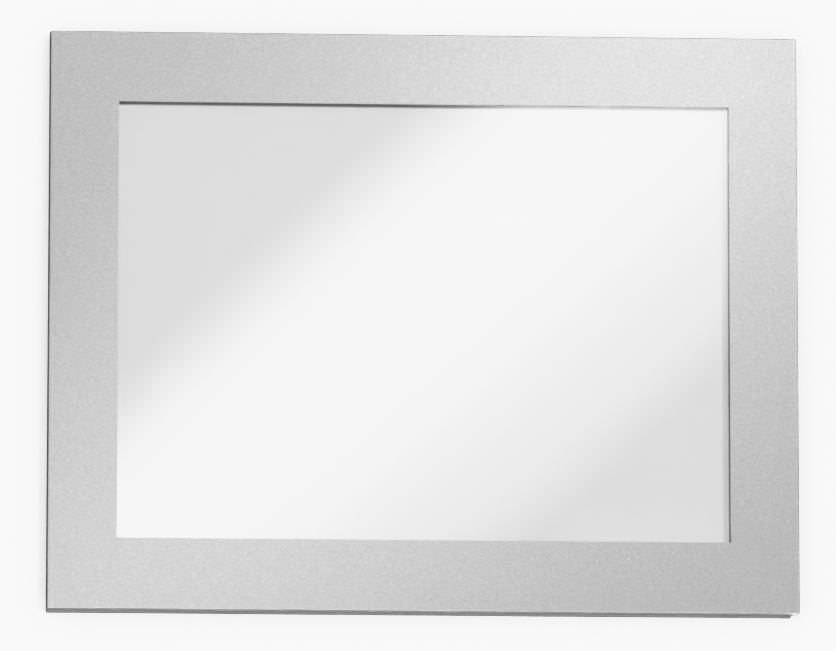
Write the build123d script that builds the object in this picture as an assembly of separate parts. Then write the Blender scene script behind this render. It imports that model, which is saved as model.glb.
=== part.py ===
from build123d import *
import os

# Magnetic photo frame for a 180 x 130 mm print, landscape, hung on a steel surface.
# Millimetres. +Z is up, +X is to the viewer's right, the front faces -Y.
# The origin is on the rear face (y = 0), behind the middle of the window.

# ---- driving dimensions -------------------------------------------------
door_w = 216.0          # silver face, width
door_h = 168.0          # silver face, height
rail_x = 19.7           # width of the left and right rails of the face
rail_z = 20.4           # width of the top and bottom rails
ledge_x = 0.3           # how far the back panel shows past the face on the left
ledge_z = 0.65          # and above and below
face_t = 0.25           # silver skin
tape_t = 0.1            # double-sided tape
film_t = 0.3            # clear window film
front_mag_t = 3.25      # front magnet strip
rear_mag_t = 1.0        # rear magnet strip
back_t = 0.5            # back panel
hinge_t = 0.3           # folded hinge film
print_w, print_h, print_t = 180.0, 130.0, 0.25
pocket_gap = 1.0        # play of the print in its pocket, each way in total
backing_t = 0.75        # card behind the print
strip_inset = 0.2       # strips stand back from the face's outer edges
film_inset = 0.6        # so does the window film
corner_r = 0.12         # outer corners of the face, cut nearly sharp
window_r = 0.15         # corners of the window
panel_r = 0.2           # corners of the back panel
edge_r = 0.1            # rolled front edges of the die-cut skin
panel_edge_r = 0.12     # front edges of the back panel
bend_x = 105.8          # where the hinge film starts to turn
strip_end_x = 105.6     # strips stop here, inside the fold
panel_end_x = 105.8     # so does the back panel, which leaves the fold free
bond_end_x = 103.0      # the hinge film is bonded only as far as this, so the fold has slack
tape_inset = 0.8        # tapes are cut this much smaller than the strips
lip = 0.02              # but run practically up to the edge of the window
joint_gap = 0.2         # between the ends of the top and bottom strips and the side strips

# ---- levels, from the wall outwards (negative y) ------------------------
y_back_f = -back_t                         # front of the back panel
y_rear_mag_r = y_back_f - tape_t           # rear of the rear strips
y_part = y_rear_mag_r - rear_mag_t         # parting plane, where front strips meet rear strips
y_mag_f = y_part - front_mag_t             # front of the front strips
y_film_r = y_mag_f - tape_t
y_film_f = y_film_r - film_t
y_face_r = y_film_f - tape_t
y_face_f = y_face_r - face_t               # the silver surface

win_w, win_h = door_w - 2 * rail_x, door_h - 2 * rail_z
dx, dz = door_w / 2, door_h / 2
wx, wz = win_w / 2, win_h / 2
ox, oz = dx - strip_inset, dz - strip_inset
px, pz = (print_w + pocket_gap) / 2, (print_h + pocket_gap) / 2
g, t = joint_gap, tape_inset


def slab(x0, x1, y0, y1, z0, z1):
    """A flat piece between the given planes."""
    lo = (min(x0, x1), min(y0, y1), min(z0, z1))
    return Pos(*lo) * Box(abs(x1 - x0), abs(y1 - y0), abs(z1 - z0),
                          align=(Align.MIN, Align.MIN, Align.MIN))


def save(shape, name):
    """One named piece, one file."""
    solids = shape.solids()
    whole = solids[0] if len(solids) == 1 else Compound(children=list(solids))
    whole.label = name
    export_step(whole, "parts/%s.step" % name)


os.makedirs("parts", exist_ok=True)

# ---- the front (opens on the hinge) -------------------------------------
# Silver skin: a die-cut ring with nearly square corners and a rolled front edge.
outer = slab(-dx, dx, y_face_f, y_face_r, -dz, dz)
outer = fillet(outer.edges().filter_by(Axis.Y), corner_r)
hole = slab(-wx, wx, y_face_f - 1, y_face_r + 1, -wz, wz)
hole = fillet(hole.edges().filter_by(Axis.Y), window_r)
face = outer - hole
front_face = face.faces().sort_by(Axis.Y)[0]
face = fillet(front_face.edges(), edge_r)
save(face, "face_frame")

# Clear window film, bonded to the back of the skin all round.
fx, fz = dx - film_inset, dz - film_inset
save(slab(-fx, fx, y_film_f, y_film_r, -fz, fz), "window_film")
save(slab(-fx + t, -wx - lip, y_face_r, y_film_f, -fz + t, fz - t), "face_tape_left")
save(slab(wx + lip, fx - t, y_face_r, y_film_f, -fz + t, fz - t), "face_tape_right")
save(slab(-wx + g, wx - g, y_face_r, y_film_f, wz + lip, fz - t), "face_tape_top")
save(slab(-wx + g, wx - g, y_face_r, y_film_f, -fz + t, -wz - lip), "face_tape_bottom")

# Front magnet strips behind the film, their inner edges in line with the window's.
# Left and right run the full height, top and bottom sit between them.
# The right one is thinner, to leave room for the front leg of the hinge film.
leg_front = y_mag_f + hinge_t              # rear of the hinge film's front leg
right_mag_f = leg_front + tape_t
save(slab(-ox, -wx, y_mag_f, y_part, -oz, oz), "front_magnet_left")
save(slab(wx, strip_end_x, right_mag_f, y_part, -oz, oz), "front_magnet_right")
save(slab(-wx + g, wx - g, y_mag_f, y_part, wz, oz), "front_magnet_top")
save(slab(-wx + g, wx - g, y_mag_f, y_part, -oz, -wz), "front_magnet_bottom")
save(slab(-fx + t, -wx - lip, y_film_r, y_mag_f, -fz + t, fz - t), "film_tape_left")
save(slab(-wx + g, wx - g, y_film_r, y_mag_f, wz + lip, fz - t), "film_tape_top")
save(slab(-wx + g, wx - g, y_film_r, y_mag_f, -fz + t, -wz - lip), "film_tape_bottom")
save(slab(wx + lip, bond_end_x, leg_front, right_mag_f, -oz + t, oz - t), "film_tape_right")

# ---- the back (held on the steel surface) -------------------------------
panel = slab(-dx - ledge_x, panel_end_x, y_back_f, 0, -dz - ledge_z, dz + ledge_z)
panel = fillet(panel.edges().filter_by(Axis.Y), panel_r)
panel = fillet(panel.faces().sort_by(Axis.Y)[0].edges(), panel_edge_r)
save(panel, "back_panel")

# Rear magnet strips: the mates of the front strips, and the walls of the print's pocket.
leg_back = y_rear_mag_r - hinge_t          # front of the hinge film's rear leg
right_mag_r = leg_back - tape_t
save(slab(-ox, -px, y_part, y_rear_mag_r, -oz, oz), "rear_magnet_left")
save(slab(px, strip_end_x, y_part, right_mag_r, -oz, oz), "rear_magnet_right")
save(slab(-px + g, px - g, y_part, y_rear_mag_r, pz, oz), "rear_magnet_top")
save(slab(-px + g, px - g, y_part, y_rear_mag_r, -oz, -pz), "rear_magnet_bottom")
save(slab(-ox + t, -px - t, y_rear_mag_r, y_back_f, -oz + t, oz - t), "rear_tape_left")
save(slab(-px + g + t, px - g - t, y_rear_mag_r, y_back_f, pz + t, oz - t), "rear_tape_top")
save(slab(-px + g + t, px - g - t, y_rear_mag_r, y_back_f, -oz + t, -pz - t), "rear_tape_bottom")
save(slab(px + t, bond_end_x, right_mag_r, leg_back, -oz + t, oz - t), "rear_tape_right")

# Backing card and blank print, standing on the lower strip inside the pocket.
z0 = -pz
y_card_f = y_back_f - backing_t
save(slab(-print_w / 2, print_w / 2, y_card_f, y_back_f, z0, z0 + print_h), "backing_card")
save(slab(-print_w / 2, print_w / 2, y_card_f - print_t, y_card_f, z0, z0 + print_h), "photo_card")

# ---- hinge --------------------------------------------------------------
# One film folded round the right edge: a leg under the window film, a half-round fold,
# and a leg on the back panel.
y_mid = (y_mag_f + y_rear_mag_r) / 2
r_out = (y_rear_mag_r - y_mag_f) / 2
r_in = r_out - hinge_t
leg_h, fold_h = dz - 0.5, dz - 0.1         # half lengths: the fold runs out to the ends of the skin
leg_in_front, leg_in_back = wx + lip, px + 0.4
fold = (Pos(bend_x, y_mid, -fold_h) * Cylinder(r_out, 2 * fold_h, align=(Align.CENTER, Align.CENTER, Align.MIN))
        - Pos(bend_x, y_mid, -fold_h) * Cylinder(r_in, 2 * fold_h, align=(Align.CENTER, Align.CENTER, Align.MIN)))
fold = fold & slab(bend_x, bend_x + 3, y_mag_f - 1, y_rear_mag_r + 1, -fold_h, fold_h)
bend = (fold + slab(leg_in_front, bend_x, y_mag_f, leg_front, -leg_h, leg_h)
        + slab(leg_in_back, bend_x, leg_back, y_rear_mag_r, -leg_h, leg_h))
save(bend, "hinge_film")
save(slab(leg_in_front, bond_end_x, y_film_r, y_mag_f, -leg_h + t, leg_h - t), "hinge_tape_front")
save(slab(leg_in_back + 0.4, bond_end_x, y_rear_mag_r, y_back_f, -leg_h + t, leg_h - t), "hinge_tape_back")

print("thickness %.2f, parting plane %.2f, film front %.2f, fold radius %.2f, fold middle %.2f, window %.1f x %.1f" % (
    -y_face_f, y_part, y_film_f, r_out, y_mid, win_w, win_h))
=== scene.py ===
import math

import bmesh
import bpy
from mathutils import Matrix, Vector


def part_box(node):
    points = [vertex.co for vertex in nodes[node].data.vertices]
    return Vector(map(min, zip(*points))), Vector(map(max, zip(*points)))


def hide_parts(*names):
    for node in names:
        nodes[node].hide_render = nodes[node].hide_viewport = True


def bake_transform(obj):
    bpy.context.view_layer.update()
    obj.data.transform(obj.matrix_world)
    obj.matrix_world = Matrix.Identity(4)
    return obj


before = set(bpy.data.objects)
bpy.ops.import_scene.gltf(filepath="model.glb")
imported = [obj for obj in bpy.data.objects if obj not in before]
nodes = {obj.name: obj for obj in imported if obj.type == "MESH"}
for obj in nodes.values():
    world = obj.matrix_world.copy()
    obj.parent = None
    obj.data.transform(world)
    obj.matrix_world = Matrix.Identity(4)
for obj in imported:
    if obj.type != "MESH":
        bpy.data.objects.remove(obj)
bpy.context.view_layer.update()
scene = bpy.context.scene

MM = 0.001


# ------------------------------------------------------------------ node helpers
class Tree:
    """A material's node tree, with the few calls that the finishes below need."""

    def __init__(self, name):
        self.mat = bpy.data.materials.new(name)
        self.mat.use_nodes = True
        self.t = self.mat.node_tree
        self.t.nodes.clear()
        self.out = self.t.nodes.new("ShaderNodeOutputMaterial")
        self._object = None

    def add(self, kind, **props):
        n = self.t.nodes.new(kind)
        for k, v in props.items():
            setattr(n, k, v)
        return n

    def wire(self, a, b):
        self.t.links.new(a, b)

    def put(self, value, socket):
        """A number, a colour or another node's output goes into a socket."""
        if isinstance(value, bpy.types.NodeSocket):
            self.wire(value, socket)
        else:
            socket.default_value = value

    def coords(self, stretch=None):
        """Object coordinates in metres, scaled per axis if asked."""
        if self._object is None:
            self._object = self.add("ShaderNodeTexCoord").outputs["Object"]
        if stretch is None:
            return self._object
        m = self.add("ShaderNodeMapping")
        m.inputs["Scale"].default_value = stretch
        self.wire(self._object, m.inputs["Vector"])
        return m.outputs["Vector"]

    def noise(self, scale, detail=2.0, rough=0.5, stretch=None, distort=0.0):
        n = self.add("ShaderNodeTexNoise")
        n.inputs["Scale"].default_value = scale
        n.inputs["Detail"].default_value = detail
        n.inputs["Roughness"].default_value = rough
        n.inputs["Distortion"].default_value = distort
        self.wire(self.coords(stretch), n.inputs["Vector"])
        return n.outputs["Fac"]

    def cells(self, scale, stretch=None):
        """One random number per small cell."""
        n = self.add("ShaderNodeTexVoronoi")
        n.inputs["Scale"].default_value = scale
        self.wire(self.coords(stretch), n.inputs["Vector"])
        s = self.add("ShaderNodeSeparateColor")
        self.wire(n.outputs["Color"], s.inputs["Color"])
        return s.outputs["Red"]

    def axes(self):
        s = self.add("ShaderNodeSeparateXYZ")
        self.wire(self.coords(), s.inputs["Vector"])
        return s.outputs["X"], s.outputs["Y"], s.outputs["Z"]

    def math(self, op, a, b=0.0, c=0.0, clamp=False):
        n = self.add("ShaderNodeMath", operation=op, use_clamp=clamp)
        for value, socket in zip((a, b, c), n.inputs):
            self.put(value, socket)
        return n.outputs["Value"]

    def around(self, fac, middle, swing):
        """middle + swing * (fac - 0.5) * 2"""
        return self.math("MULTIPLY_ADD", fac, 2.0 * swing, middle - swing)

    def step(self, value, lo, hi, to_lo=0.0, to_hi=1.0):
        n = self.add("ShaderNodeMapRange", interpolation_type="SMOOTHSTEP")
        self.put(value, n.inputs["Value"])
        n.inputs["From Min"].default_value = lo
        n.inputs["From Max"].default_value = hi
        n.inputs["To Min"].default_value = to_lo
        n.inputs["To Max"].default_value = to_hi
        return n.outputs["Result"]

    def ramp(self, fac, stops, interpolation="LINEAR"):
        n = self.add("ShaderNodeValToRGB")
        n.color_ramp.interpolation = interpolation
        e = n.color_ramp.elements
        while len(e) < len(stops):
            e.new(0.5)
        for el, (pos, col) in zip(e, stops):
            el.position = pos
            el.color = (*col, 1.0) if len(col) == 3 else col
        self.put(fac, n.inputs["Fac"])
        return n.outputs["Color"]

    def tint(self, colour, gain):
        """A colour times a number that varies over the surface."""
        n = self.add("ShaderNodeMix", data_type="RGBA", blend_type="MULTIPLY")
        n.inputs["Factor"].default_value = 1.0
        n.inputs["A"].default_value = (*colour, 1.0)
        self.put(gain, n.inputs["B"])
        return n.outputs["Result"]

    def bump(self, height, strength, distance, normal=None):
        n = self.add("ShaderNodeBump")
        n.inputs["Strength"].default_value = strength
        n.inputs["Distance"].default_value = distance
        self.put(height, n.inputs["Height"])
        if normal is not None:
            self.wire(normal, n.inputs["Normal"])
        return n.outputs["Normal"]

    def principled(self, **values):
        p = self.add("ShaderNodeBsdfPrincipled")
        for name, value in values.items():
            self.put(value, p.inputs[name.replace("_", " ")])
        self.wire(p.outputs["BSDF"], self.out.inputs["Surface"])
        return p


# ------------------------------------------------------------------ finishes
def silver_skin():
    """Satin silver lacquer: fine metal flake in a pale grey ground, with painted glints on the brightest flakes and
    a soft broad sheen.
    """
    m = Tree("silver_skin")
    fine = m.noise(2050.0, 1.0, 0.5)
    flake = m.cells(2300.0)
    cloud = m.noise(120.0, 2.0, 0.5)
    # Painted glints: the brightest tenth of the flake cells are lifted in the base colour as if they caught the
    # light.
    painted_glint = m.step(flake, 0.90, 1.0)
    gain = m.math("ADD", m.around(fine, 1.0, 0.165), m.around(flake, 0.0, 0.04))
    gain = m.math("ADD", gain, m.around(cloud, 0.0, 0.012))
    gain = m.math("ADD", gain, m.math("MULTIPLY", painted_glint, 0.07))
    m.principled(Base_Color=m.tint((0.435, 0.435, 0.435), gain), Metallic=0.19,
                 Roughness=m.around(cloud, 0.30, 0.02), Specular_IOR_Level=0.4)
    return m.mat


def magnet_rubber(name, along):
    """Calendered ferrite rubber: near black, matt, with faint drag lines along the strip."""
    m = Tree(name)
    stretch = (0.06, 1.0, 1.0) if along == "x" else (1.0, 1.0, 0.06)
    lines = m.noise(900.0, 3.0, 0.6, stretch)
    speck = m.noise(2600.0, 2.0, 0.6)
    dust = m.noise(70.0, 4.0, 0.6)
    gain = m.math("ADD", m.around(lines, 1.0, 0.22), m.around(speck, 0.0, 0.18))
    gain = m.math("ADD", gain, m.around(dust, 0.0, 0.15))
    rough = m.math("ADD", m.around(dust, 0.62, 0.10), m.around(lines, 0.0, 0.06))
    n = m.bump(lines, 0.35, 0.00003)
    n = m.bump(speck, 0.25, 0.00003, n)
    m.principled(Base_Color=m.tint((0.125, 0.124, 0.122), gain), Roughness=rough, Normal=n,
                 Specular_IOR_Level=0.35)
    return m.mat


def tape():
    """Tissue tape: off-white, slightly clear adhesive with fibres."""
    m = Tree("tape")
    fibre = m.noise(650.0, 4.0, 0.65, None, 1.5)
    cloud = m.noise(90.0, 2.0, 0.5)
    colour = m.ramp(fibre, [(0.30, (0.62, 0.61, 0.57)), (0.52, (0.74, 0.73, 0.69)), (0.72, (0.86, 0.85, 0.81))])
    m.principled(Base_Color=colour, Roughness=m.around(cloud, 0.42, 0.12), Normal=m.bump(fibre, 0.3, 0.00003))
    return m.mat


def clear_film():
    """Clear glossy film: what is behind shows through, and both faces carry a mirror gloss."""
    m = Tree("clear_film")
    wave = m.noise(16.0, 1.0, 0.4)
    haze = m.noise(700.0, 3.0, 0.6)
    normal = m.bump(wave, 0.06, 0.0012)
    facing = m.add("ShaderNodeLayerWeight")
    facing.inputs["Blend"].default_value = 0.5
    edge = m.math("POWER", facing.outputs["Facing"], 5.0)
    gloss = m.add("ShaderNodeBsdfGlossy")
    gloss.inputs["Color"].default_value = (1.0, 1.0, 1.0, 1.0)
    m.wire(m.around(haze, 0.018, 0.005), gloss.inputs["Roughness"])
    m.wire(normal, gloss.inputs["Normal"])
    clear = m.add("ShaderNodeBsdfTransparent")
    clear.inputs["Color"].default_value = (0.985, 0.985, 0.985, 1.0)
    mix = m.add("ShaderNodeMixShader")
    m.wire(m.math("MULTIPLY_ADD", edge, 0.96, 0.04), mix.inputs["Fac"])
    m.wire(clear.outputs["BSDF"], mix.inputs[1])
    m.wire(gloss.outputs["BSDF"], mix.inputs[2])
    m.wire(mix.outputs["Shader"], m.out.inputs["Surface"])
    return m.mat


def print_paper():
    """Blank white print paper with a satin coat and a very fine tooth."""
    m = Tree("print_paper")
    tooth = m.noise(1500.0, 3.0, 0.6)
    cloud = m.noise(45.0, 3.0, 0.5)
    gain = m.math("ADD", m.around(tooth, 1.0, 0.012), m.around(cloud, 0.0, 0.006))
    m.principled(Base_Color=m.tint((0.79, 0.79, 0.79), gain), Roughness=m.around(tooth, 0.55, 0.05),
                 Normal=m.bump(tooth, 0.08, 0.00002), Specular_IOR_Level=0.25)
    return m.mat


def card():
    """Grey-white board: pressed fibres and a few darker flecks."""
    m = Tree("card")
    fibre = m.noise(420.0, 5.0, 0.7, (1.0, 1.0, 0.35), 0.8)
    fleck = m.noise(1100.0, 2.0, 0.5)
    colour = m.ramp(fibre, [(0.30, (0.56, 0.53, 0.47)), (0.50, (0.68, 0.65, 0.58)), (0.72, (0.77, 0.74, 0.68))])
    n = m.bump(fibre, 0.4, 0.00004)
    m.principled(Base_Color=colour, Roughness=m.around(fleck, 0.86, 0.08), Normal=n, Specular_IOR_Level=0.2)
    return m.mat


def back_sheet():
    """Grey sheet with a fine pebbled grain, the strips behind it showing faintly, and light scuffs."""
    m = Tree("back_sheet")
    x, y, z = m.axes()
    ax, az = m.math("ABSOLUTE", x), m.math("ABSOLUTE", z)
    strip = m.math("MAXIMUM", m.step(ax, 0.0897, 0.0913), m.step(az, 0.0647, 0.0663))
    pebble = m.add("ShaderNodeTexVoronoi", feature="SMOOTH_F1")
    pebble.inputs["Scale"].default_value = 1300.0
    pebble.inputs["Smoothness"].default_value = 0.6
    m.wire(m.coords(), pebble.inputs["Vector"])
    grain = pebble.outputs["Distance"]
    cloud = m.noise(22.0, 4.0, 0.6)
    scuff = m.noise(260.0, 4.0, 0.7, (1.0, 1.0, 0.05), 0.6)
    scuff = m.step(scuff, 0.60, 0.74)
    gain = m.math("ADD", m.around(grain, 1.0, -0.16), m.around(cloud, 0.0, 0.07))
    gain = m.math("ADD", gain, m.math("MULTIPLY", scuff, 0.10))
    gain = m.math("ADD", gain, m.math("MULTIPLY", strip, 0.05))
    rough = m.math("ADD", m.around(cloud, 0.55, 0.07), m.math("MULTIPLY", scuff, -0.10))
    n = m.bump(strip, 0.5, 0.00012)
    n = m.bump(grain, 0.45, 0.00006, n)
    m.principled(Base_Color=m.tint((0.105, 0.106, 0.108), gain), Roughness=rough, Normal=n)
    return m.mat


def hinge_sheet():
    """Pale, milky folding film: fine creases along the fold and a soft gloss."""
    m = Tree("hinge_sheet")
    crease = m.noise(1600.0, 3.0, 0.6, (1.0, 1.0, 0.02))
    milk = m.noise(140.0, 3.0, 0.5)
    gain = m.math("ADD", m.around(milk, 1.0, 0.05), m.around(crease, 0.0, 0.05))
    p = m.principled(Base_Color=m.tint((0.46, 0.462, 0.465), gain), Roughness=m.around(milk, 0.36, 0.08),
                     Normal=m.bump(crease, 0.35, 0.00004))
    return m.mat


SKIN = silver_skin()
RUBBER_X = magnet_rubber("magnet_rubber_x", "x")
RUBBER_Z = magnet_rubber("magnet_rubber_z", "z")
TAPE = tape()
FILM = clear_film()
PAPER = print_paper()
CARD = card()
BACK = back_sheet()
HINGE = hinge_sheet()


def finish_of(name):
    if "_tape_" in name:
        return TAPE
    if "_magnet_" in name:
        return RUBBER_X if name.endswith(("_top", "_bottom")) else RUBBER_Z
    return {"face_frame": SKIN, "window_film": FILM, "photo_card": PAPER, "backing_card": CARD,
            "back_panel": BACK, "hinge_film": HINGE}[name]


for name, ob in nodes.items():
    ob.data.materials.clear()
    ob.data.materials.append(finish_of(name))


# ------------------------------------------------------------------ hinge film
# One film folded round the right edge, from the front's leg round to the back's leg.
lo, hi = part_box("hinge_film")
film_t = 0.3 * MM
r_out = (hi.y - lo.y) / 2
y_mid = (hi.y + lo.y) / 2
bend_x = hi.x - r_out
front_in, back_in = lo.x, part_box("rear_magnet_right")[0].x + 0.4 * MM
leg_part = 1.0 - 0.4 * MM / hi.z          # the legs are cut a little shorter than the fold


def profile(r):
    """The film's line at radius r round the fold, from the end of the front leg to the end of the rear leg."""
    pts = [(front_in + (bend_x - front_in) * i / 10, y_mid - r) for i in range(10)]
    turns = 36
    pts += [(bend_x + r * math.sin(math.pi * i / turns), y_mid - r * math.cos(math.pi * i / turns))
            for i in range(turns + 1)]
    pts += [(bend_x + (back_in - bend_x) * i / 10, y_mid + r) for i in range(1, 11)]
    return pts


outside, inside = profile(r_out), profile(r_out - film_t)
ring = outside + inside[::-1]
rows = 25
bm = bmesh.new()
layers = []
for k in range(rows):
    z = lo.z + (hi.z - lo.z) * k / (rows - 1)
    layers.append([bm.verts.new((px, py, z if px > bend_x + 1e-6 else z * leg_part)) for px, py in ring])
count = len(ring)
for k in range(rows - 1):
    for i in range(count):
        j = (i + 1) % count
        bm.faces.new((layers[k][i], layers[k][j], layers[k + 1][j], layers[k + 1][i]))
half = len(outside)
for layer in (layers[0], layers[-1]):
    for i in range(half - 1):
        bm.faces.new((layer[i], layer[i + 1], layer[count - 2 - i], layer[count - 1 - i]))
bmesh.ops.recalc_face_normals(bm, faces=bm.faces)
mesh = bpy.data.meshes.new("hinge_fold")
bm.to_mesh(mesh)
bm.free()
mesh.shade_smooth()
mesh.set_sharp_from_angle(angle=math.radians(35))
fold = bpy.data.objects.new("hinge_fold", mesh)
scene.collection.objects.link(fold)
mesh.materials.append(HINGE)
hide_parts("hinge_film")
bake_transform(fold)


# ------------------------------------------------------------------ stage
def sheet(name, points, faces, matrix, material):
    me = bpy.data.meshes.new(name)
    me.from_pydata(points, [], faces)
    ob = bpy.data.objects.new(name, me)
    ob.matrix_world = matrix
    me.materials.append(material)
    scene.collection.objects.link(ob)
    return ob


def plane(name, size_x, size_y, matrix, material):
    hx, hy = size_x / 2, size_y / 2
    return sheet(name, [(-hx, -hy, 0), (hx, -hy, 0), (hx, hy, 0), (-hx, hy, 0)], [(0, 1, 2, 3)], matrix, material)


def pale(name, value):
    m = Tree(name)
    cloud = m.noise(3.0, 2.0, 0.5)
    m.principled(Base_Color=m.tint((value,) * 3, m.around(cloud, 1.0, 0.01)), Roughness=0.9,
                 Specular_IOR_Level=0.1)
    return m.mat


# The wall that the frame hangs on only takes its soft shadow. It is open behind the back panel.
p_lo, p_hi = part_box("back_panel")
xs, zs = (-3.0, p_lo.x + 0.0002, p_hi.x - 0.0002, 3.0), (-3.0, p_lo.z + 0.0002, p_hi.z - 0.0002, 3.0)
grid = [(x, 0.0004, z) for z in zs for x in xs]
cells = [(r * 4 + c, r * 4 + c + 1, r * 4 + c + 5, r * 4 + c + 4)
         for r in range(3) for c in range(3) if (r, c) != (1, 1)]
wall = sheet("wall", grid, cells, Matrix.Identity(4), pale("wall_paint", 0.88))
wall.is_shadow_catcher = True
wall.visible_diffuse = False
wall.visible_glossy = False
floor = plane("floor", 60.0, 60.0, Matrix.Translation((0, 0, -0.95)), pale("floor_paint", 0.82))
floor.visible_shadow = False
floor.visible_diffuse = False
floor.visible_glossy = False

# ------------------------------------------------------------------ camera
PX_W = 836.0
YAW, PITCH, ROLL = math.radians(3.3767), math.radians(9.2938), math.radians(0.0175)
target = Vector((-1.539, 0.0, -0.335)) * MM
forward = Vector((math.sin(YAW) * math.cos(PITCH), math.cos(YAW) * math.cos(PITCH), math.sin(PITCH)))
right = forward.cross(Vector((0, 0, 1))).normalized()
up = right.cross(forward)
right, up = (right * math.cos(ROLL) + up * math.sin(ROLL), up * math.cos(ROLL) - right * math.sin(ROLL))
cam = bpy.data.cameras.new("camera")
cam.sensor_fit = "HORIZONTAL"
cam.sensor_width = 36.0
cam.lens = 9003.98 * cam.sensor_width / PX_W
cam.clip_start, cam.clip_end = 0.05, 60.0
cam_ob = bpy.data.objects.new("camera", cam)
turn = Matrix((right, up, -forward)).transposed().to_4x4()
eye = target - forward * 2.6
cam_ob.matrix_world = Matrix.Translation(eye) @ turn
scene.collection.objects.link(cam_ob)
scene.camera = cam_ob

# ------------------------------------------------------------------ light
world = bpy.data.worlds.new("tent")
scene.world = world
world.use_nodes = True
wt = world.node_tree
wt.nodes.clear()


def glow_of(strength):
    n = wt.nodes.new("ShaderNodeBackground")
    n.inputs["Color"].default_value = (1, 1, 1, 1)
    n.inputs["Strength"].default_value = strength
    return n.outputs["Background"]


def either(fac, first, second):
    n = wt.nodes.new("ShaderNodeMixShader")
    wt.links.new(fac, n.inputs["Fac"])
    wt.links.new(first, n.inputs[1])
    wt.links.new(second, n.inputs[2])
    return n.outputs["Shader"]


ray = wt.nodes.new("ShaderNodeLightPath").outputs
tent = either(ray["Is Glossy Ray"], glow_of(0.10), glow_of(0.30))
w_out = wt.nodes.new("ShaderNodeOutputWorld")
wt.links.new(either(ray["Is Camera Ray"], tent, glow_of(1.65)), w_out.inputs["Surface"])


def aim(at, to):
    """A matrix at a point whose -Z looks at another point."""
    q = (Vector(to) - Vector(at)).to_track_quat("-Z", "Y")
    return Matrix.Translation(Vector(at)) @ q.to_matrix().to_4x4()


def lamp(name, kind, matrix):
    l = bpy.data.lights.new(name, kind)
    ob = bpy.data.objects.new(name, l)
    ob.matrix_world = matrix
    ob.visible_camera = False
    ob.visible_glossy = False
    scene.collection.objects.link(ob)
    return ob


def area(name, at, to, sx, sy, share):
    """A soft box. share is what it adds to the brightness of a white sheet that faces it."""
    ob = lamp(name, "AREA", aim(at, to))
    ob.data.shape = "RECTANGLE"
    ob.data.size, ob.data.size_y = sx, sy
    ob.data.energy = share * math.pi ** 2 * (Vector(at) - Vector(to)).length_squared
    return ob


area("key_front", (0.15, -3.0, 0.30), (0, 0, 0), 0.5, 0.5, 0.755)
area("key_right", (1.40, -3.0, 0.25), (0, 0, 0), 0.35, 0.35, 0.25)
area("rear_soft", (-1.2, 1.8, 1.0), (0, 0, 0), 1.2, 1.2, 2.2)


# Four slim strips, one off each edge and hardly in front of the face, light the frame's outer edges.
def edge_light(name, turn_by, share):
    spin = Matrix.Rotation(math.radians(turn_by), 4, "Y")
    ob = lamp(name, "AREA", Matrix.Translation((0, -0.008, 0)) @ spin @ Matrix.Translation((0, 0, 0.90)))
    ob.data.shape = "RECTANGLE"
    ob.data.size, ob.data.size_y = 1.0, 0.02
    ob.data.energy = share * (math.pi * 0.90) ** 2
    return ob


edge_light("from_above", 0.0, 2.5)
edge_light("from_right", 90.0, 1.4)
edge_light("from_below", 180.0, 1.2)
edge_light("from_left", 270.0, 0.9)

# Lamps for single layers: two more strips for the cut edges of the skin, one low in front that reaches the rim of
# the back panel, one low in front for the walls of the window, one right below for the strips' lower sides, and
# one that shines into the lower end of the hinge film's fold.
strips = [ob for n, ob in nodes.items() if "_magnet_" in n]


def only_for(ob, pieces):
    """This lamp lights just these pieces."""
    group = bpy.data.collections.new(ob.name)
    for piece in pieces:
        group.objects.link(piece)
    ob.light_linking.receiver_collection = group


only_for(edge_light("skin_below", 180.0, 1.8), [nodes["face_frame"]])
only_for(edge_light("skin_right", 90.0, 1.2), [nodes["face_frame"]])
only_for(area("rim_light", (0, -0.9, -0.9), (0, 0, -0.084), 0.8, 0.3, 3.0), [nodes["back_panel"]])
only_for(area("window_wall", (0, -0.9, -0.9), (0, 0, -0.084), 0.8, 0.3, 0.9), strips)
only_for(edge_light("strip_ends", 180.0, 1.6), strips)
only_for(area("fold_end", (-0.3, -0.9, -0.9), (0.106, 0, -0.084), 0.4, 0.3, 2.0), [fold])

# Two lamps for the wall alone, which deepen the frame's soft shadow on it.
wall_only = bpy.data.collections.new("wall_only")
wall_only.objects.link(wall)
frame_only = bpy.data.collections.new("frame_only")
for ob in [*nodes.values(), fold]:
    frame_only.objects.link(ob)
for name, at, spread, energy in (("wall_dome", (0, -1, 0), 150.0, 80.0), ("wall_key", (0.45, -1, 0.06), 4.0, 12.0)):
    ob = lamp(name, "SUN", aim(at, (0, 0, 0)))
    ob.data.angle = math.radians(spread)
    ob.data.energy = energy
    ob.data.cycles.use_multiple_importance_sampling = False
    ob.light_linking.receiver_collection = wall_only
    ob.light_linking.blocker_collection = frame_only

# And one from overhead that keeps the floor evenly pale.
floor_only = bpy.data.collections.new("floor_only")
floor_only.objects.link(floor)
ob = lamp("floor_light", "SUN", Matrix.Identity(4))
ob.data.angle = math.radians(20.0)
ob.data.energy = 6.0
ob.light_linking.receiver_collection = floor_only
ob.light_linking.blocker_collection = frame_only


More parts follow.
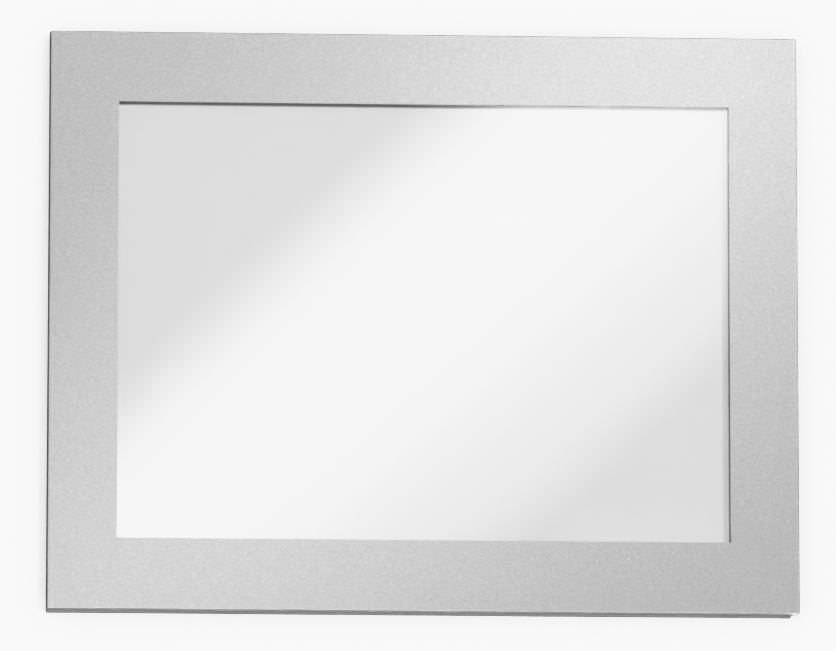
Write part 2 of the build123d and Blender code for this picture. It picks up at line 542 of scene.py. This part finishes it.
def reflector(name, matrix, size_x, size_y, strength, glow_x, glow_y, taper=0.0):
    """A glowing panel in front of the frame that only glossy surfaces see."""
    m = Tree(name)
    px, py, _ = m.axes()
    u = m.math("MULTIPLY_ADD", px, 1.0 / size_x, 0.5)
    v = m.math("MULTIPLY_ADD", py, 1.0 / size_y, 0.5)
    v = m.math("MULTIPLY", v, m.math("MULTIPLY_ADD", u, -taper, 1.0 + 0.46 * taper))
    shade = m.add("ShaderNodeMix", data_type="RGBA", blend_type="MULTIPLY")
    shade.inputs["Factor"].default_value = 1.0
    m.wire(m.ramp(u, glow_x), shade.inputs["A"])
    m.wire(m.ramp(v, glow_y), shade.inputs["B"])
    emit = m.add("ShaderNodeEmission")
    m.wire(shade.outputs["Result"], emit.inputs["Color"])
    emit.inputs["Strength"].default_value = strength
    clear = m.add("ShaderNodeBsdfTransparent")
    both = m.add("ShaderNodeAddShader")
    m.wire(emit.outputs["Emission"], both.inputs[0])
    m.wire(clear.outputs["BSDF"], both.inputs[1])
    m.wire(both.outputs["Shader"], m.out.inputs["Surface"])
    ob = plane(name, size_x, size_y, matrix, m.mat)
    ob.visible_camera = False
    ob.visible_shadow = False
    ob.visible_diffuse = False
    return ob


def grey(v):
    return (v, v, v)


EVEN = [(0.0, grey(0.0)), (0.06, grey(1.0)), (0.94, grey(1.0)), (1.0, grey(0.0))]
PANEL_Y = -0.60
film_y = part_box("window_film")[0].y
reach = (film_y - PANEL_Y) / (film_y - eye.y)


def facing_film(x, z):
    """Where a panel hangs whose reflection sits at x, z (mm) on the window film in the camera's view."""
    return Vector((x * MM + (x * MM - eye.x) * reach, PANEL_Y, z * MM + (z * MM - eye.z) * reach))


# A long soft box hung aslant: the film mirrors it as the bright band across the window, and the silver
# picks it up as a broad sheen.
SLOPE = math.radians(42.4)
along = Vector((math.cos(SLOPE), 0, math.sin(SLOPE)))
across = Vector((-math.sin(SLOPE), 0, math.cos(SLOPE)))
basis = Matrix((along, across, along.cross(across))).transposed().to_4x4()
BELL = [(0.0, grey(0.0)), (0.07, grey(0.13)), (0.32, grey(0.48)), (0.46, grey(0.80)), (0.56, grey(1.0)),
        (0.67, grey(1.0)), (0.78, grey(0.90)), (0.84, grey(0.66)), (0.92, grey(0.20)), (1.0, grey(0.0))]
middle = along * 60.0 - across * 9.0
band_at = facing_film(middle.x, middle.z)
grow = 1.0 + reach
reflector("band_box", Matrix.Translation(band_at) @ basis, 0.520 * grow, 0.118 * grow, 7.5, EVEN, BELL, 0.11)

# Smaller cards round it lift the corners of the silver.
upright = Matrix(((1, 0, 0), (0, 0, -1), (0, 1, 0))).to_4x4()
for name, x0, x1, z0, z1, strength in (
        ("card_upper_left", -260, -94, 70, 240, 2.4),
        ("card_top_left", -94, 0, 70, 240, 0.8),
        ("card_top_right", 0, 94, 70, 240, 4.2),
        ("card_right", 94, 260, 10, 240, 0.7),
        ("card_lower_left", -260, -94, -240, -40, 1.2),
        ("card_lower_right", 30, 260, -240, -50, 0.4)):
    at = facing_film((x0 + x1) / 2, (z0 + z1) / 2) - Vector((0, 0.004, 0))
    reflector(name, Matrix.Translation(at) @ upright, (x1 - x0) * MM * grow, (z1 - z0) * MM * grow, strength,
              EVEN, EVEN)

# A large soft card low on the left, so that the silver and the film keep their sheen from the right as well.
SOFT = [(0.0, grey(0.0)), (0.30, grey(0.55)), (0.55, grey(1.0)), (0.80, grey(0.65)), (1.0, grey(0.0))]
reflector("card_low_side", aim((-0.70, -0.70, -0.46), (0, 0, 0)), 0.95, 0.62, 2.6, SOFT, SOFT)

scene.view_settings.view_transform = "Khronos PBR Neutral"
scene.view_settings.look = "None"
